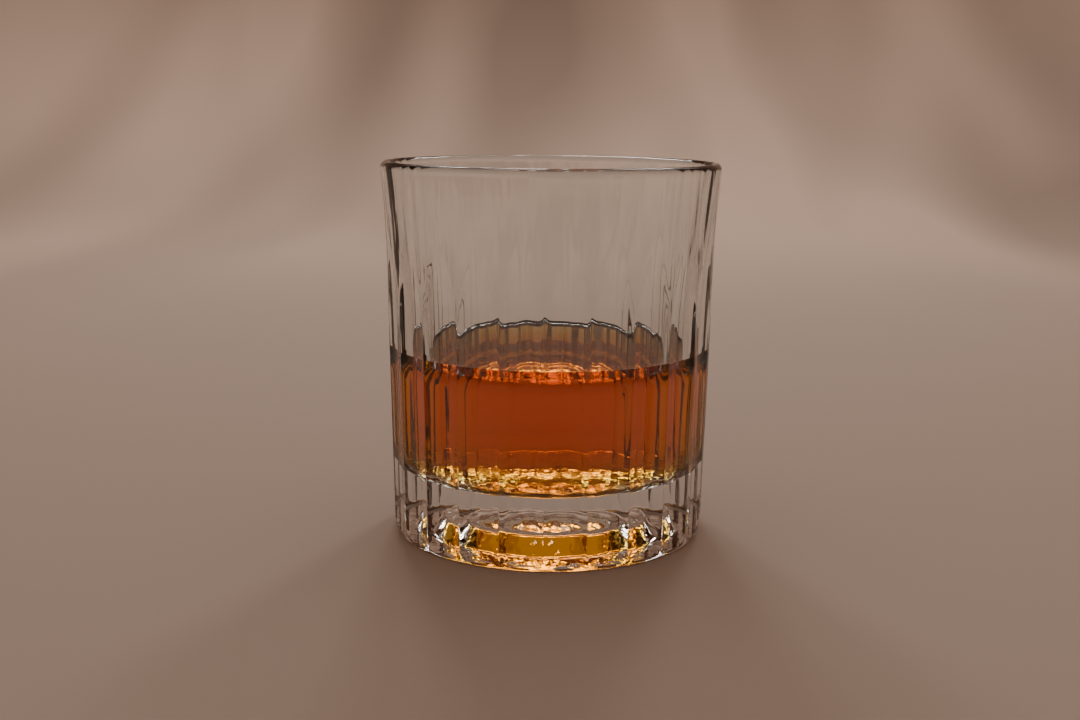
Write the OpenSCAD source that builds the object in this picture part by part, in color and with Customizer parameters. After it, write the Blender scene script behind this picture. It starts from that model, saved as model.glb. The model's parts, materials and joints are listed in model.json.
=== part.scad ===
// Double old fashioned tumbler: one piece of pressed glass with tall panels that are
// slightly hollow, and the pour of whiskey that stands in it.
// Millimetres, +Z up. The origin is on the table, on the glass's axis.

/* [Glass] */
// Height of the glass, from the table to the crown of the lip
glass_h = 94; // [90:0.5:98]
// Widest radius, at the lip
rim_r = 42.5; // [41.8:0.1:43.5]
// Radius of the straight body, below the flare
body_r = 41.1; // [40.9:0.1:41.4]
// Height at which the outside starts to flare
flare_z = 64; // [60:1:70]
// Thickness of the wall just above the cavity's floor
wall_foot_t = 5.1; // [4.5:0.1:6.5]
// Thickness of the lip, to which the wall thins
lip_t = 3; // [2.4:0.1:3.4]

/* [Panels] */
// Number of panels round the glass
panel_n = 24; // [20:1:28]
// Radius of the ridges between the panels, at the foot
ridge_foot_r = 40; // [39.8:0.1:40.5]
// Radius of the ridges where the panels start to run out
ridge_top_r = 41; // [40.8:0.05:41.05]
// Height at which the panels start to run out
runout_z = 50; // [45:1:58]
// Height of the arch at the top of each panel
arch_z = 80; // [76:1:86]
// Depth of the hollow across the middle of a panel, below its two ridges
hollow = 0.6; // [0.4:0.05:0.8]
// Height below the arch over which that hollow fades out
hollow_fade = 18; // [12:1:24]

/* [Base] */
// Height of the cavity's floor above the table
floor_z = 16.5; // [14:0.5:19]
// Round between the cavity's floor and its wall
floor_round = 7; // [4:0.5:8]
// Rounded heel between the panels and the underside
heel_r = 1.4; // [1:0.1:2.4]
// Width of the flat ring that the glass stands on
ring_w = 3.5; // [2.5:0.5:5]
// Gentle rise of the underside from that ring in to the recess
under_rise = 0.3; // [0.1:0.1:1]
// Radius of the recess in the middle of the underside, at its mouth
recess_out_r = 23; // [20:0.5:28]
// Radius of the recess at the top of its sloping side
recess_in_r = 17; // [14:0.5:19]
// Depth of the recess above the table
recess_z = 4.6; // [3:0.1:6]
// Radius of the low dome in the recess's roof
dome_r = 13; // [8:0.5:13.5]
// Height of that dome
dome_h = 2; // [0.5:0.1:3]

/* [Whiskey] */
// Level of the whiskey above the table
level_z = 47; // [30:1:60]
// Height that the whiskey climbs where it meets the glass
meniscus_h = 0.8; // [0.4:0.1:2]
// Distance from the glass over which most of that climb happens
meniscus_w = 1; // [0.6:0.1:2]

/* [Hidden] */
round_fn = 96;                               // facets drawn on a full round
half_panel = 180 / panel_n;                  // half of a panel's angle
lip_round = lip_t / 2;
lip_z = glass_h - lip_round;                 // height of the lip's widest ring
ring_out_r = ridge_foot_r - heel_r - 0.5;    // standing ring, outer edge
ring_in_r = ring_out_r - ring_w;             // standing ring, inner edge
heel_top_z = heel_r + 6;                     // where the heel's slope reaches the body
heel_lean = 15;                              // lean of that slope, from upright
foot_z = floor_z + floor_round;              // top of the cavity's floor round
contact_z = level_z + meniscus_h;            // where the whiskey's edge meets the glass
runout_steps = 8;
flare_steps = 8;
dome_steps = 6;
meniscus_steps = 5;

// Outside radius of the round body at height z
function body_at(z) = body_r
    + (z < flare_z ? 0 : (rim_r - body_r) * pow((z - flare_z) / (lip_z - flare_z), 2));

// Distance from the axis to a panel at height z: a straight lean, then a bow outwards
// that meets the round body at the top of the arch
panel_foot_d = ridge_foot_r * cos(half_panel);
panel_lean = (ridge_top_r - ridge_foot_r) * cos(half_panel) / runout_z;
runout_bow = (body_at(arch_z) - panel_foot_d - panel_lean * arch_z) / pow(arch_z - runout_z, 2);
function panel_at(z) = panel_foot_d + panel_lean * z
    + (z < runout_z ? 0 : runout_bow * pow(z - runout_z, 2));

// Cavity radius at height z, above its floor round: the wall thins evenly up to the lip
function cavity_at(z) = body_at(z)
    - (wall_foot_t + (lip_t - wall_foot_t) * (z - foot_z) / (lip_z - foot_z));

// Points of an arc of radius r about [x, z], from angle a to angle b in n steps
function arc(x, z, r, a, b, n) =
    [for (i = [0:n]) [x + r * cos(a + (b - a) * i / n), z + r * sin(a + (b - a) * i / n)]];

// Floor of the cavity and the round at its edge, from the axis out to the wall
floor_line = concat([[0, floor_z]], arc(cavity_at(foot_z) - floor_round, foot_z, floor_round, -90, 0, 8));

// Underside, from the axis out to the standing ring: a domed recess, then a gentle fall
under_line = concat(
    [for (i = [0:dome_steps]) [dome_r * i / dome_steps, recess_z + dome_h * (1 - pow(i / dome_steps, 2))]],
    [[recess_in_r, recess_z], [recess_out_r, under_rise], [ring_in_r, 0]]);

// Section of the glass from its underside, up the outside and over the lip,
// then down the inside to the cavity's floor
glass_section = concat(
    under_line,
    arc(ring_out_r, heel_r, heel_r, -90, -heel_lean, 5),
    [[body_r, heel_top_z]],
    [for (i = [0:flare_steps]) let (z = flare_z + (lip_z - flare_z) * i / flare_steps) [body_at(z), z]],
    arc(rim_r - lip_round, lip_z, lip_round, 18, 180, 9),
    [for (i = [flare_steps - 1:-1:0]) let (z = flare_z + (lip_z - flare_z) * i / flare_steps)
        [cavity_at(z), z]],
    [for (i = [len(floor_line) - 1:-1:0]) floor_line[i]]);

// Section of the whiskey: the cavity's own floor and wall, and a surface that climbs at its edge
contact_r = cavity_at(contact_z);
whiskey_section = concat(
    floor_line,
    [for (i = [0:meniscus_steps]) let (d = 3 * meniscus_w * pow(i / meniscus_steps, 1.5))
        [contact_r - d, level_z + meniscus_h * exp(-d / meniscus_w)]],
    [[contact_r - 5 * meniscus_w, level_z], [0, level_z]]);

// Distance from the axis to the middle of a panel's hollow at height z
function hollow_at(z) = panel_at(z) - hollow * max(0, min(1, (arch_z - z) / hollow_fade));

// Axis of the round roller that leaves such a hollow between two ridges
foot_half_w = panel_foot_d * tan(half_panel);
roller_r = (pow(foot_half_w, 2) + pow(hollow, 2)) / (2 * hollow);
roller_x = panel_foot_d - hollow + roller_r;

// An upright roller whose side follows one panel, from below the foot to above its arch
module panel_roller() {
    translate([roller_x, 0, 0])
        rotate_extrude($fn = round_fn)
            polygon(concat(
                [[0, -1], [roller_x - hollow_at(-1), -1]],
                [for (i = [0:runout_steps]) let (z = runout_z + (arch_z - runout_z) * i / runout_steps)
                    [roller_x - hollow_at(z), z]],
                [[roller_x - panel_at(arch_z + 1), arch_z + 1], [0, arch_z + 1]]));
}

module tumbler() {
    color([0.93, 0.95, 0.95, 0.4])
        difference() {
            rotate_extrude($fn = round_fn) polygon(glass_section);
            for (i = [0:panel_n - 1])
                rotate([0, 0, (i + 0.5) * 360 / panel_n - 90]) panel_roller();
        }
}

module whiskey() {
    color([0.62, 0.25, 0.03, 0.9])
        rotate_extrude($fn = round_fn) polygon(whiskey_section);
}

tumbler();
whiskey();
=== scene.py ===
import json
import math

import bpy
from mathutils import Matrix, Vector

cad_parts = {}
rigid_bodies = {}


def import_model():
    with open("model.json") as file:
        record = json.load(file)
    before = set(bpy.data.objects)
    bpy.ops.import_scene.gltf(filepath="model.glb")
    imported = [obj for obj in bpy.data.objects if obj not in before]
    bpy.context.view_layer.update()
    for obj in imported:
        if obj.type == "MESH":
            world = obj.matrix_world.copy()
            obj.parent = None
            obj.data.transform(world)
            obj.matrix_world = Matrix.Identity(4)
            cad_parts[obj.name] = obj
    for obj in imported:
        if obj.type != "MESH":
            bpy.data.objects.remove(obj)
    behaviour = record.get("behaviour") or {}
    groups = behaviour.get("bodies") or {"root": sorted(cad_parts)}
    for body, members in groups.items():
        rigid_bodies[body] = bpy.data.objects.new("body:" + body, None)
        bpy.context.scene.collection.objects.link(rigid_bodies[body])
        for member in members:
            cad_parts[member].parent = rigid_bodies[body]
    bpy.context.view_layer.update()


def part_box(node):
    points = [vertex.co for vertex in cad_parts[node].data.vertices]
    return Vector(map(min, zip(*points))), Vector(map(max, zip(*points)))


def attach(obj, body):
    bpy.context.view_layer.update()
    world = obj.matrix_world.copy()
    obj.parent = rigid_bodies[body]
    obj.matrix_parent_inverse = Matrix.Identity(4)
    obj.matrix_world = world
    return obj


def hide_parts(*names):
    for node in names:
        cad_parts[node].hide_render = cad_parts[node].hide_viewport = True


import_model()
mm = 0.001

glassLow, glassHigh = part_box("tumbler")
drinkLow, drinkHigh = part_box("whiskey")
rimRadius = min(glassHigh.x - glassLow.x, glassHigh.y - glassLow.y) / 2
glassTop = glassHigh.z
floorZ = drinkLow.z            # the drink lies on the cavity's floor
contactZ = drinkHigh.z         # and its edge climbs to here
contactRadius = (drinkHigh.x - drinkLow.x) / 2


def activate(ob):
    bpy.ops.object.select_all(action="DESELECT")
    ob.select_set(True)
    bpy.context.view_layer.objects.active = ob


def applyModifier(ob, modifier):
    activate(ob)
    bpy.ops.object.modifier_apply(modifier=modifier.name)


def arc(x, z, radius, start, end, steps):
    # points of an arc in the section, angles in degrees
    turns = [math.radians(start + (end - start) * i / steps) for i in range(steps + 1)]
    return [(x + radius * math.cos(t), z + radius * math.sin(t)) for t in turns]


def drawSection(name, points):
    # one vertex at the first point, pulled along the rest by extruding it
    bpy.ops.object.select_all(action="DESELECT")
    bpy.ops.mesh.primitive_plane_add(size=0.001, location=(0, 0, 0))
    ob = bpy.context.object
    ob.name = name
    ob.data.name = name
    bpy.ops.object.mode_set(mode="EDIT")
    bpy.ops.mesh.select_all(action="SELECT")
    bpy.ops.mesh.merge(type="CENTER")
    x, z = points[0]
    bpy.ops.transform.translate(value=(x, 0, z))
    for nextX, nextZ in points[1:]:
        bpy.ops.mesh.extrude_region_move(TRANSFORM_OT_translate={"value": (nextX - x, 0, nextZ - z)})
        x, z = nextX, nextZ
    return ob


def spinWedge(steps):
    # spin the whole section on through a list of turns, in degrees
    bpy.ops.mesh.select_all(action="SELECT")
    for turn in steps:
        bpy.ops.mesh.spin(steps=1, angle=math.radians(turn), center=(0, 0, 0), axis=(0, 0, 1))


def repeatRound(ob, count):
    # copies of the wedge all round the axis, welded to each other
    bpy.ops.object.mode_set(mode="OBJECT")
    turner = bpy.data.objects.new("turner", None)
    bpy.context.scene.collection.objects.link(turner)
    turner.rotation_euler.z = math.tau / count
    bpy.context.view_layer.update()
    ring = ob.modifiers.new("round", "ARRAY")
    ring.count = count
    ring.use_relative_offset = False
    ring.use_object_offset = True
    ring.offset_object = turner
    applyModifier(ob, ring)
    bpy.data.objects.remove(turner)
    bpy.ops.object.mode_set(mode="EDIT")
    bpy.ops.mesh.select_all(action="SELECT")
    bpy.ops.mesh.remove_doubles(threshold=0.000004)
    bpy.ops.mesh.normals_make_consistent(inside=False)
    bpy.ops.object.mode_set(mode="OBJECT")


def smoothMin(a, b, blend):
    h = max(0.0, min(1.0, 0.5 + 0.5 * (b - a) / blend))
    return b + (a - b) * h - blend * h * (1 - h)


glass = {
    "bodyRadius": 41.1 * mm,     # the round body, just outside the ridges
    "flareFrom": 64 * mm,        # the outside starts to flare here
    "lipThickness": 3.0 * mm,
    "panels": 24,
    "ridgeFoot": 40.0 * mm,      # radius of the ridges at the foot
    "ridgeTop": 41.0 * mm,       # and where the panels start to run out
    "runoutFrom": 50 * mm,
    "archTop": 80 * mm,
    "hollow": 0.6 * mm,          # each panel is this hollow across its width
    "hollowFade": 18 * mm,       # the hollow fades out over this height below the arch's top
    "ridgeBlend": 0.2 * mm,      # how soft the ridges are
    "archBlend": 0.12 * mm,      # how soft the arches are
    "floorRound": 7 * mm,
    "heelRadius": 1.4 * mm,
    "heelLean": 15,              # degrees from upright, of the slope above the heel
    "heelTop": 7.4 * mm,         # and that slope meets the round body here
    "ringInset": 0.5 * mm,       # the standing ring starts this far inside the heel's round
    "ringWidth": 3.5 * mm,
    "underRise": 0.3 * mm,       # gentle rise from the ring in to the recess
    "recessOut": 23 * mm,        # the recess in the middle of the underside
    "recessIn": 17 * mm,
    "recessTop": 4.6 * mm,
    "domeRadius": 13 * mm,       # and the low dome in its roof
    "domeHeight": 2.0 * mm,
}
lipRound = glass["lipThickness"] / 2
lipZ = glassTop - lipRound
footZ = floorZ + glass["floorRound"]


def bodyAt(z):
    rise = max(0.0, z - glass["flareFrom"]) / (lipZ - glass["flareFrom"])
    return glass["bodyRadius"] + (rimRadius - glass["bodyRadius"]) * rise ** 2


def cavityAt(z):
    # the wall thins evenly from the drink's edge up to the lip
    atDrink = bodyAt(contactZ) - contactRadius
    wall = atDrink + (glass["lipThickness"] - atDrink) * (z - contactZ) / (lipZ - contactZ)
    return bodyAt(z) - wall


def panelAt(z):
    flat = math.cos(math.pi / glass["panels"])
    foot = glass["ridgeFoot"] * flat
    lean = (glass["ridgeTop"] - glass["ridgeFoot"]) * flat / glass["runoutFrom"]
    reach = glass["archTop"] - glass["runoutFrom"]
    bow = (bodyAt(glass["archTop"]) - foot - lean * glass["archTop"]) / reach ** 2
    return foot + lean * z + bow * max(0.0, z - glass["runoutFrom"]) ** 2


def spread(start, end, steps):
    return [start + (end - start) * i / steps for i in range(1, steps + 1)]


def glassSection():
    ringOut = glass["ridgeFoot"] - glass["heelRadius"] - glass["ringInset"]
    ringIn = ringOut - glass["ringWidth"]
    outR, inR = glass["recessOut"], glass["recessIn"]
    lowZ, highZ = glass["underRise"], glass["recessTop"]
    domeR, domeZ = glass["domeRadius"], glass["domeHeight"]
    under = [(domeR * i / 10, highZ + domeZ * (1 - (i / 10) ** 2)) for i in range(11)]
    under += [(domeR + (inR - domeR) * k, highZ) for k in spread(0, 1, 3)]
    under += [(inR + (outR - inR) * k, highZ + (lowZ - highZ) * k) for k in spread(0, 1, 8)]
    under += [(outR + (ringIn - outR) * k, lowZ * (1 - k)) for k in spread(0, 1, 6)]
    under += [((ringIn + ringOut) / 2, 0)]
    heel = arc(ringOut, glass["heelRadius"], glass["heelRadius"], -90, -glass["heelLean"], 8)
    heelSteps = 6
    heights = spread(heel[-1][1], glass["heelTop"], heelSteps)
    heights += spread(glass["heelTop"], glass["runoutFrom"], 8)
    heights += spread(glass["runoutFrom"], lipZ, 44)
    wall = [(bodyAt(z), z) for z in heights]
    for i in range(heelSteps):
        k = (i + 1) / heelSteps
        wall[i] = (heel[-1][0] + (glass["bodyRadius"] - heel[-1][0]) * k, heights[i])
    lip = arc(rimRadius - lipRound, lipZ, lipRound, 0, 180, 16)[1:]
    inside = [(cavityAt(z), z) for z in spread(lipZ, footZ, 28)]
    footR = cavityAt(footZ)
    floor = arc(footR - glass["floorRound"], footZ, glass["floorRound"], 0, -90, 12)[1:]
    floor += [(floor[-1][0] * k, floorZ) for k in (0.6, 0.3, 0)]
    return under + heel + wall + lip + inside + floor


def hollowAt(z):
    # distance from the axis to the middle of a panel's hollow
    fade = (glass["archTop"] - z) / glass["hollowFade"]
    return panelAt(z) - glass["hollow"] * max(0.0, min(1.0, fade))


def fluteAt(z, turn):
    # radius of a panel's face at a turn from its middle, as left by an upright roller
    half = math.pi / glass["panels"]
    foot = glass["ridgeFoot"] * math.cos(half)
    across = foot * math.tan(half)
    roller = (across ** 2 + glass["hollow"] ** 2) / (2 * glass["hollow"])
    axis = foot - glass["hollow"] + roller
    here = hollowAt(z)
    reach = min(here * math.tan(turn), axis - here)
    return (axis - math.sqrt((axis - here) ** 2 - reach ** 2)) / math.cos(turn)


def pressPanels(ob):
    # press the outside of the round blank in to the hollow panels, with soft ridges and arches
    step = math.tau / glass["panels"]
    plainFrom = glass["archTop"] + 2 * mm
    for v in ob.data.vertices:
        z = v.co.z
        radius = math.hypot(v.co.x, v.co.y)
        if radius < panelAt(z) - glass["hollow"] or z > plainFrom:
            continue
        if radius < (cavityAt(z) + bodyAt(z)) / 2 and z > floorZ:
            continue    # the cavity's wall stays round
        turn = (math.atan2(v.co.y, v.co.x) + math.pi / 2) % step - step / 2
        near = fluteAt(z, turn)
        beside = fluteAt(z, step - abs(turn))
        pressed = smoothMin(near, beside, glass["ridgeBlend"])
        pressed = smoothMin(radius, pressed, glass["archBlend"])
        v.co.x *= pressed / radius
        v.co.y *= pressed / radius


def makeGlass():
    ob = drawSection("glassBody", glassSection())
    # one panel's wedge, with fine steps by the ridges at both its ends, in degrees
    ridgeSteps = [0.15, 0.15, 0.2]
    hollowStep = (180 / glass["panels"] - sum(ridgeSteps)) / 8
    turns = ridgeSteps + [hollowStep] * 16 + ridgeSteps[::-1]
    spinWedge(turns)
    repeatRound(ob, glass["panels"])
    pressPanels(ob)
    activate(ob)
    bpy.ops.object.shade_smooth()
    print("glass body:", len(ob.data.polygons), "faces")
    return ob


drink = {
    "meniscusHeight": 0.8 * mm,
    "meniscusWidth": 1.0 * mm,
    "overlap": 0.03 * mm,        # the drink reaches this far into the glass, so no air shows between
    "turns": 192,
}


def drinkSection():
    level = contactZ - drink["meniscusHeight"]
    grow = drink["overlap"]
    footR = cavityAt(footZ)
    low = floorZ - grow
    roundR = glass["floorRound"] + grow
    bottom = [(0, low), (10 * mm, low), (20 * mm, low)]
    bottom += arc(footR - glass["floorRound"], footZ, roundR, -90, 0, 12)
    side = [(cavityAt(z) + grow, z) for z in spread(footZ, contactZ, 4)]
    edge = side[-1][0]
    width = drink["meniscusWidth"]
    climbSteps = 18
    climb = [7 * width * (i / climbSteps) ** 1.6 for i in range(1, climbSteps + 1)]
    top = [(edge - d, level + drink["meniscusHeight"] * math.exp(-d / width)) for d in climb]
    top += [(top[-1][0] * k, top[-1][1]) for k in (0.6, 0.3, 0)]
    return bottom + side + top


def makeDrink():
    ob = drawSection("whiskeyPour", drinkSection())
    wedgeTurns = 8
    spinWedge([360 / drink["turns"]] * wedgeTurns)
    repeatRound(ob, drink["turns"] // wedgeTurns)
    activate(ob)
    bpy.ops.object.shade_smooth()
    print("whiskey:", len(ob.data.polygons), "faces")
    return ob


def newMaterial(name):
    material = bpy.data.materials.new(name)
    material.use_nodes = True
    tree = material.node_tree
    shader = tree.nodes["Principled BSDF"]
    return material, tree, shader


def slowWaves():
    # what clear things show faintly all over: waves in the surface, and clouds from 0 to 1
    group = bpy.data.node_groups.new("slowWaves", "ShaderNodeTree")
    face = group.interface
    face.new_socket("Stretch", in_out="INPUT", socket_type="NodeSocketVector")
    face.new_socket("Wave Scale", in_out="INPUT", socket_type="NodeSocketFloat")
    face.new_socket("Wave Strength", in_out="INPUT", socket_type="NodeSocketFloat")
    face.new_socket("Cloud Scale", in_out="INPUT", socket_type="NodeSocketFloat")
    face.new_socket("Normal", in_out="OUTPUT", socket_type="NodeSocketVector")
    face.new_socket("Cloud", in_out="OUTPUT", socket_type="NodeSocketFloat")
    nodes, links = group.nodes, group.links
    given = nodes.new("NodeGroupInput")
    out = nodes.new("NodeGroupOutput")
    place = nodes.new("ShaderNodeTexCoord")
    stretch = nodes.new("ShaderNodeMapping")
    waves = nodes.new("ShaderNodeTexNoise")
    waves.inputs["Detail"].default_value = 1.5
    bump = nodes.new("ShaderNodeBump")
    bump.inputs["Distance"].default_value = 0.0006
    cloud = nodes.new("ShaderNodeTexNoise")
    links.new(place.outputs["Object"], stretch.inputs["Vector"])
    links.new(given.outputs["Stretch"], stretch.inputs["Scale"])
    links.new(stretch.outputs["Vector"], waves.inputs["Vector"])
    links.new(given.outputs["Wave Scale"], waves.inputs["Scale"])
    links.new(given.outputs["Wave Strength"], bump.inputs["Strength"])
    links.new(waves.outputs["Fac"], bump.inputs["Height"])
    links.new(place.outputs["Object"], cloud.inputs["Vector"])
    links.new(given.outputs["Cloud Scale"], cloud.inputs["Scale"])
    links.new(bump.outputs["Normal"], out.inputs["Normal"])
    links.new(cloud.outputs["Fac"], out.inputs["Cloud"])
    return group


def addWaves(tree, shader, group, look):
    # the shared waves and clouds, with a material's own values
    waves = tree.nodes.new("ShaderNodeGroup")
    waves.node_tree = group
    waves.inputs["Stretch"].default_value = look["stretch"]
    waves.inputs["Wave Scale"].default_value = look["waveScale"]
    waves.inputs["Wave Strength"].default_value = look["waveStrength"]
    waves.inputs["Cloud Scale"].default_value = look["cloudScale"]
    tint = tree.nodes.new("ShaderNodeValToRGB")
    tint.color_ramp.elements[0].color = (*look["tintLow"], 1)
    tint.color_ramp.elements[1].color = (*look["tintHigh"], 1)
    tree.links.new(waves.outputs["Cloud"], tint.inputs["Fac"])
    tree.links.new(tint.outputs["Color"], shader.inputs["Base Color"])
    tree.links.new(waves.outputs["Normal"], shader.inputs["Normal"])
    return waves


glassLook = {
    "stretch": (1, 1, 0.07),     # the mould's waves run upright
    "waveScale": 190,
    "waveStrength": 0.65,
    "cloudScale": 28,
    "tintLow": (0.955, 0.972, 0.965),
    "tintHigh": (0.99, 0.995, 0.99),
    "haze": 0.02,                # roughness where the clouds are thickest
}


def glassMaterial(group):
    material, tree, shader = newMaterial("clearPressedGlass")
    shader.inputs["IOR"].default_value = 1.52
    shader.inputs["Transmission Weight"].default_value = 1.0
    waves = addWaves(tree, shader, group, glassLook)
    haze = tree.nodes.new("ShaderNodeMapRange")
    haze.inputs["From Min"].default_value = 0.5
    haze.inputs["From Max"].default_value = 0.8
    haze.inputs["To Max"].default_value = glassLook["haze"]
    tree.links.new(waves.outputs["Cloud"], haze.inputs["Value"])
    tree.links.new(haze.outputs["Result"], shader.inputs["Roughness"])
    return material


drinkLook = {
    "stretch": (1, 1, 1),
    "waveScale": 35,
    "waveStrength": 0.1,
    "cloudScale": 35,
    "tintLow": (1.0, 0.93, 0.80),
    "tintHigh": (1.0, 0.98, 0.94),
    "amber": (0.982, 0.792, 0.0),    # what the drink lets through
    "depth": 145,                    # and how soon, per metre
}


def whiskeyMaterial(group):
    material, tree, shader = newMaterial("amberWhiskey")
    shader.inputs["Roughness"].default_value = 0.0
    shader.inputs["IOR"].default_value = 1.36
    shader.inputs["Transmission Weight"].default_value = 1.0
    addWaves(tree, shader, group, drinkLook)
    absorb = tree.nodes.new("ShaderNodeVolumeAbsorption")
    absorb.inputs["Color"].default_value = (*drinkLook["amber"], 1)
    absorb.inputs["Density"].default_value = drinkLook["depth"]
    tree.links.new(absorb.outputs["Volume"], tree.nodes["Material Output"].inputs["Volume"])
    return material


stage = {
    "floorRadius": 1.6,
    "wallHeight": 1.3,
    "sweep": 0.8,
    "nearColour": (0.60, 0.475, 0.40),
    "farColour": (0.62, 0.47, 0.385),     # the colour far off and up the wall
    "paintedFolds": 0.3,                         # painted light and shade of soft folds, far off only
    "paintedFrontShade": 0.8,                      # and painted shade makes the side towards the viewer this much darker
}


def paintedSweepShade(tree, place, away):
    # painted light and shade on the sweep: soft folds of painted light and shade far off, and
    # painted shade making it dimmer towards the viewer
    lay = tree.nodes.new("ShaderNodeMapping")
    lay.inputs["Rotation"].default_value = (0, math.radians(-38), math.radians(25))
    lay.inputs["Scale"].default_value = (3.2, 0.8, 0.9)
    # painted light and shade: a slow noise brightens and darkens the sweep's colour far off, like
    # folds
    paintedFolds = tree.nodes.new("ShaderNodeTexNoise")
    paintedFolds.inputs["Scale"].default_value = 1.7
    paintedFolds.inputs["Detail"].default_value = 1.0
    swing = tree.nodes.new("ShaderNodeMapRange")
    swing.inputs["From Min"].default_value = 0.35
    swing.inputs["From Max"].default_value = 0.65
    swing.inputs["To Min"].default_value = -stage["paintedFolds"]
    swing.inputs["To Max"].default_value = stage["paintedFolds"]
    far = tree.nodes.new("ShaderNodeMapRange")
    far.interpolation_type = "SMOOTHSTEP"
    far.inputs["From Min"].default_value = 0.35
    far.inputs["From Max"].default_value = 1.1
    amount = tree.nodes.new("ShaderNodeMath")
    amount.operation = "MULTIPLY_ADD"
    amount.inputs[2].default_value = 1.0
    split = tree.nodes.new("ShaderNodeSeparateXYZ")
    # painted shade: the sweep's colour is darkened towards the viewer
    dim = tree.nodes.new("ShaderNodeMapRange")
    dim.inputs["From Min"].default_value = -1.3
    dim.inputs["From Max"].default_value = -0.45
    dim.inputs["To Min"].default_value = stage["paintedFrontShade"]
    dim.inputs["To Max"].default_value = 1.0
    level = tree.nodes.new("ShaderNodeMath")
    level.operation = "MULTIPLY"
    tree.links.new(place.outputs["Object"], lay.inputs["Vector"])
    tree.links.new(lay.outputs["Vector"], paintedFolds.inputs["Vector"])
    tree.links.new(paintedFolds.outputs["Fac"], swing.inputs["Value"])
    tree.links.new(away.outputs["Value"], far.inputs["Value"])
    tree.links.new(swing.outputs["Result"], amount.inputs[0])
    tree.links.new(far.outputs["Result"], amount.inputs[1])
    tree.links.new(place.outputs["Object"], split.inputs["Vector"])
    tree.links.new(split.outputs["Y"], dim.inputs["Value"])
    tree.links.new(amount.outputs["Value"], level.inputs[0])
    tree.links.new(dim.outputs["Result"], level.inputs[1])
    return level.outputs["Value"]


def sweepMaterial():
    material, tree, shader = newMaterial("paleSweep")
    shader.inputs["Roughness"].default_value = 0.9
    place = tree.nodes.new("ShaderNodeTexCoord")
    away = tree.nodes.new("ShaderNodeVectorMath")
    away.operation = "LENGTH"
    ramp = tree.nodes.new("ShaderNodeValToRGB")
    ramp.color_ramp.interpolation = "EASE"
    ramp.color_ramp.elements[0].position = 0.15
    ramp.color_ramp.elements[0].color = (*stage["nearColour"], 1)
    ramp.color_ramp.elements[1].position = 1.0
    ramp.color_ramp.elements[1].color = (*stage["farColour"], 1)
    shade = tree.nodes.new("ShaderNodeVectorMath")
    shade.operation = "SCALE"
    tree.links.new(place.outputs["Object"], away.inputs[0])
    tree.links.new(away.outputs["Value"], ramp.inputs["Fac"])
    tree.links.new(ramp.outputs["Color"], shade.inputs[0])
    # the sweep's colour is scaled by its painted light and shade
    tree.links.new(paintedSweepShade(tree, place, away), shade.inputs["Scale"])
    tree.links.new(shade.outputs["Vector"], shader.inputs["Base Color"])
    return material


def makeStage():
    bpy.ops.object.select_all(action="DESELECT")
    radius, sweep = stage["floorRadius"], stage["sweep"]
    points = [(0, 0), (0.2, 0), (0.5, 0), (radius - sweep, 0)]
    points += arc(radius - sweep, sweep, sweep, -90, 0, 16)[1:]
    points += [(radius, stage["wallHeight"])]
    ob = drawSection("studioSweep", points)
    spinWedge([3] * 120)
    bpy.ops.mesh.select_all(action="SELECT")
    bpy.ops.mesh.remove_doubles(threshold=0.00005)
    bpy.ops.mesh.normals_make_consistent(inside=True)
    bpy.ops.object.mode_set(mode="OBJECT")
    activate(ob)
    bpy.ops.object.shade_smooth()
    ob.data.materials.append(sweepMaterial())


def softbox(name, location, target, size, watts):
    data = bpy.data.lights.new(name, "AREA")
    data.shape = "RECTANGLE"
    data.size, data.size_y = size
    data.energy = watts
    data.color = room["paneColour"]
    ob = bpy.data.objects.new(name, data)
    bpy.context.scene.collection.objects.link(ob)
    ob.location = location
    ob.rotation_euler = (Vector(target) - Vector(location)).to_track_quat("-Z", "Y").to_euler()


room = {
    "backColour": (0.66, 0.54, 0.46),
    "frontColour": (0.46, 0.37, 0.31),
    "strength": 0.6,
    "paneWatts": 1.4,
    "skyWatts": 1.8,
    "topWatts": 0.8,
    "paneColour": (1, 0.94, 0.87),    # of every light
}


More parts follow.
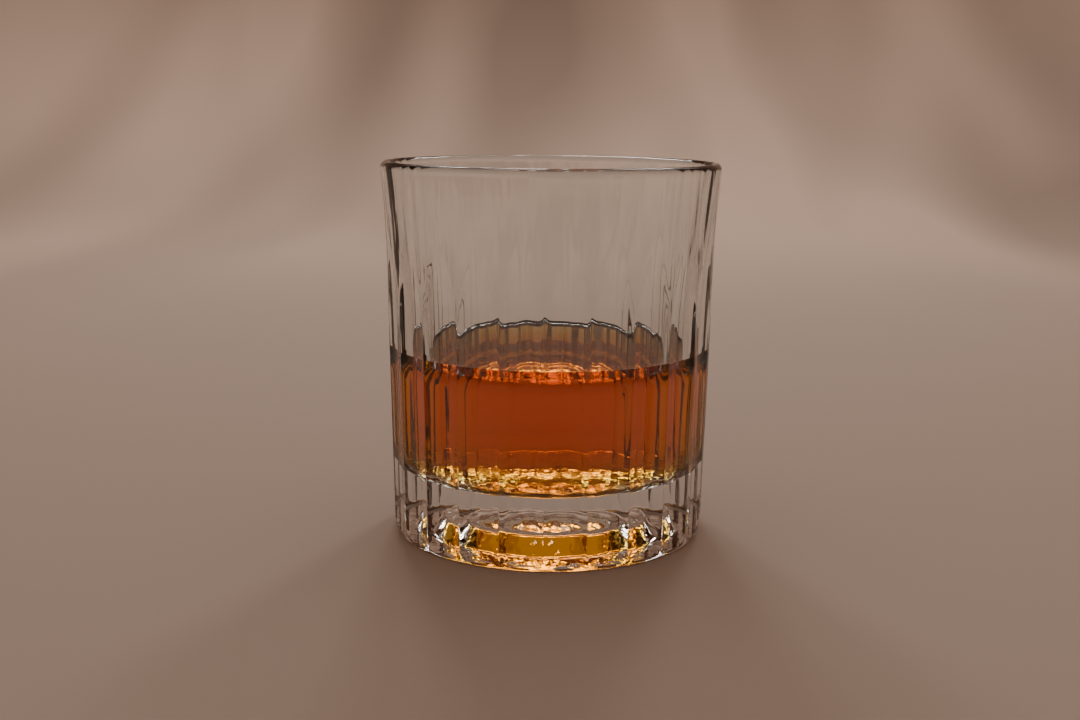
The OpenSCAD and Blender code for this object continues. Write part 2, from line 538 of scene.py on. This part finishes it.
def makeRoom():
    # a soft room, brighter behind the glass than in front of it
    world = bpy.data.worlds.new("studioWorld")
    world.use_nodes = True
    tree = world.node_tree
    place = tree.nodes.new("ShaderNodeTexCoord")
    facing = tree.nodes.new("ShaderNodeVectorMath")
    facing.operation = "DOT_PRODUCT"
    facing.inputs[1].default_value = (0, 0.9, -0.4)
    ramp = tree.nodes.new("ShaderNodeValToRGB")
    centre = tree.nodes.new("ShaderNodeMath")
    centre.operation = "MULTIPLY_ADD"
    centre.inputs[1].default_value = 0.5
    centre.inputs[2].default_value = 0.5
    ramp.color_ramp.elements[0].position = 0.2
    ramp.color_ramp.elements[0].color = (*room["frontColour"], 1)
    ramp.color_ramp.elements[1].position = 0.75
    ramp.color_ramp.elements[1].color = (*room["backColour"], 1)
    tree.links.new(place.outputs["Generated"], facing.inputs[0])
    tree.links.new(facing.outputs["Value"], centre.inputs[0])
    tree.links.new(centre.outputs["Value"], ramp.inputs["Fac"])
    tree.links.new(ramp.outputs["Color"], tree.nodes["Background"].inputs["Color"])
    tree.nodes["Background"].inputs["Strength"].default_value = room["strength"]
    bpy.context.scene.world = world


def makeLights():
    makeRoom()
    middle = (0, 0, 0.05)       # about half way up the glass
    panes = {"windowLeft": (-0.29, 0.92), "windowMiddle": (-0.09, 0.96), "windowRight": (0.28, 0.92)}
    for name, (x, y) in panes.items():
        softbox(name, (x, y, 0.85), middle, (0.15, 0.30), room["paneWatts"])
    softbox("skyBehind", (0, 1.25, 1.05), middle, (1.7, 0.35), room["skyWatts"])
    softbox("overhead", (0, 0, 1.4), (0, 0, 0), (1.4, 1.4), room["topWatts"])


camera = {
    "lens": 44.3,
    "turn": 1.8,            # degrees round the glass
    "distance": 335.7 * mm,
    "height": 107.4 * mm,
    "side": -2.3 * mm,
    "pitch": 10.8,
    "roll": 0.5,
}


def makeCamera():
    data = bpy.data.cameras.new("tableCamera")
    data.lens = camera["lens"]
    data.sensor_width = 36
    data.clip_start = 0.01
    ob = bpy.data.objects.new("tableCamera", data)
    bpy.context.scene.collection.objects.link(ob)
    turn = math.radians(camera["turn"])
    right = Vector((math.cos(turn), math.sin(turn), 0))
    back = Vector((math.sin(turn), -math.cos(turn), 0))
    place = back * camera["distance"] + right * camera["side"] + Vector((0, 0, camera["height"]))
    tilt = Matrix.Rotation(math.radians(90 - camera["pitch"]), 4, "X")
    roll = Matrix.Rotation(math.radians(camera["roll"]), 4, "Z")
    ob.matrix_world = Matrix.Translation(place) @ Matrix.Rotation(turn, 4, "Z") @ tilt @ roll
    bpy.context.scene.camera = ob


makeCamera()
makeStage()
makeLights()
print("stage, lights and camera are up")

waveGroup = slowWaves()

body = makeGlass()
body.data.materials.append(glassMaterial(waveGroup))
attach(body, "root")
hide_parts("tumbler")

pour = makeDrink()
pour.data.materials.append(whiskeyMaterial(waveGroup))
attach(pour, "root")
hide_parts("whiskey")
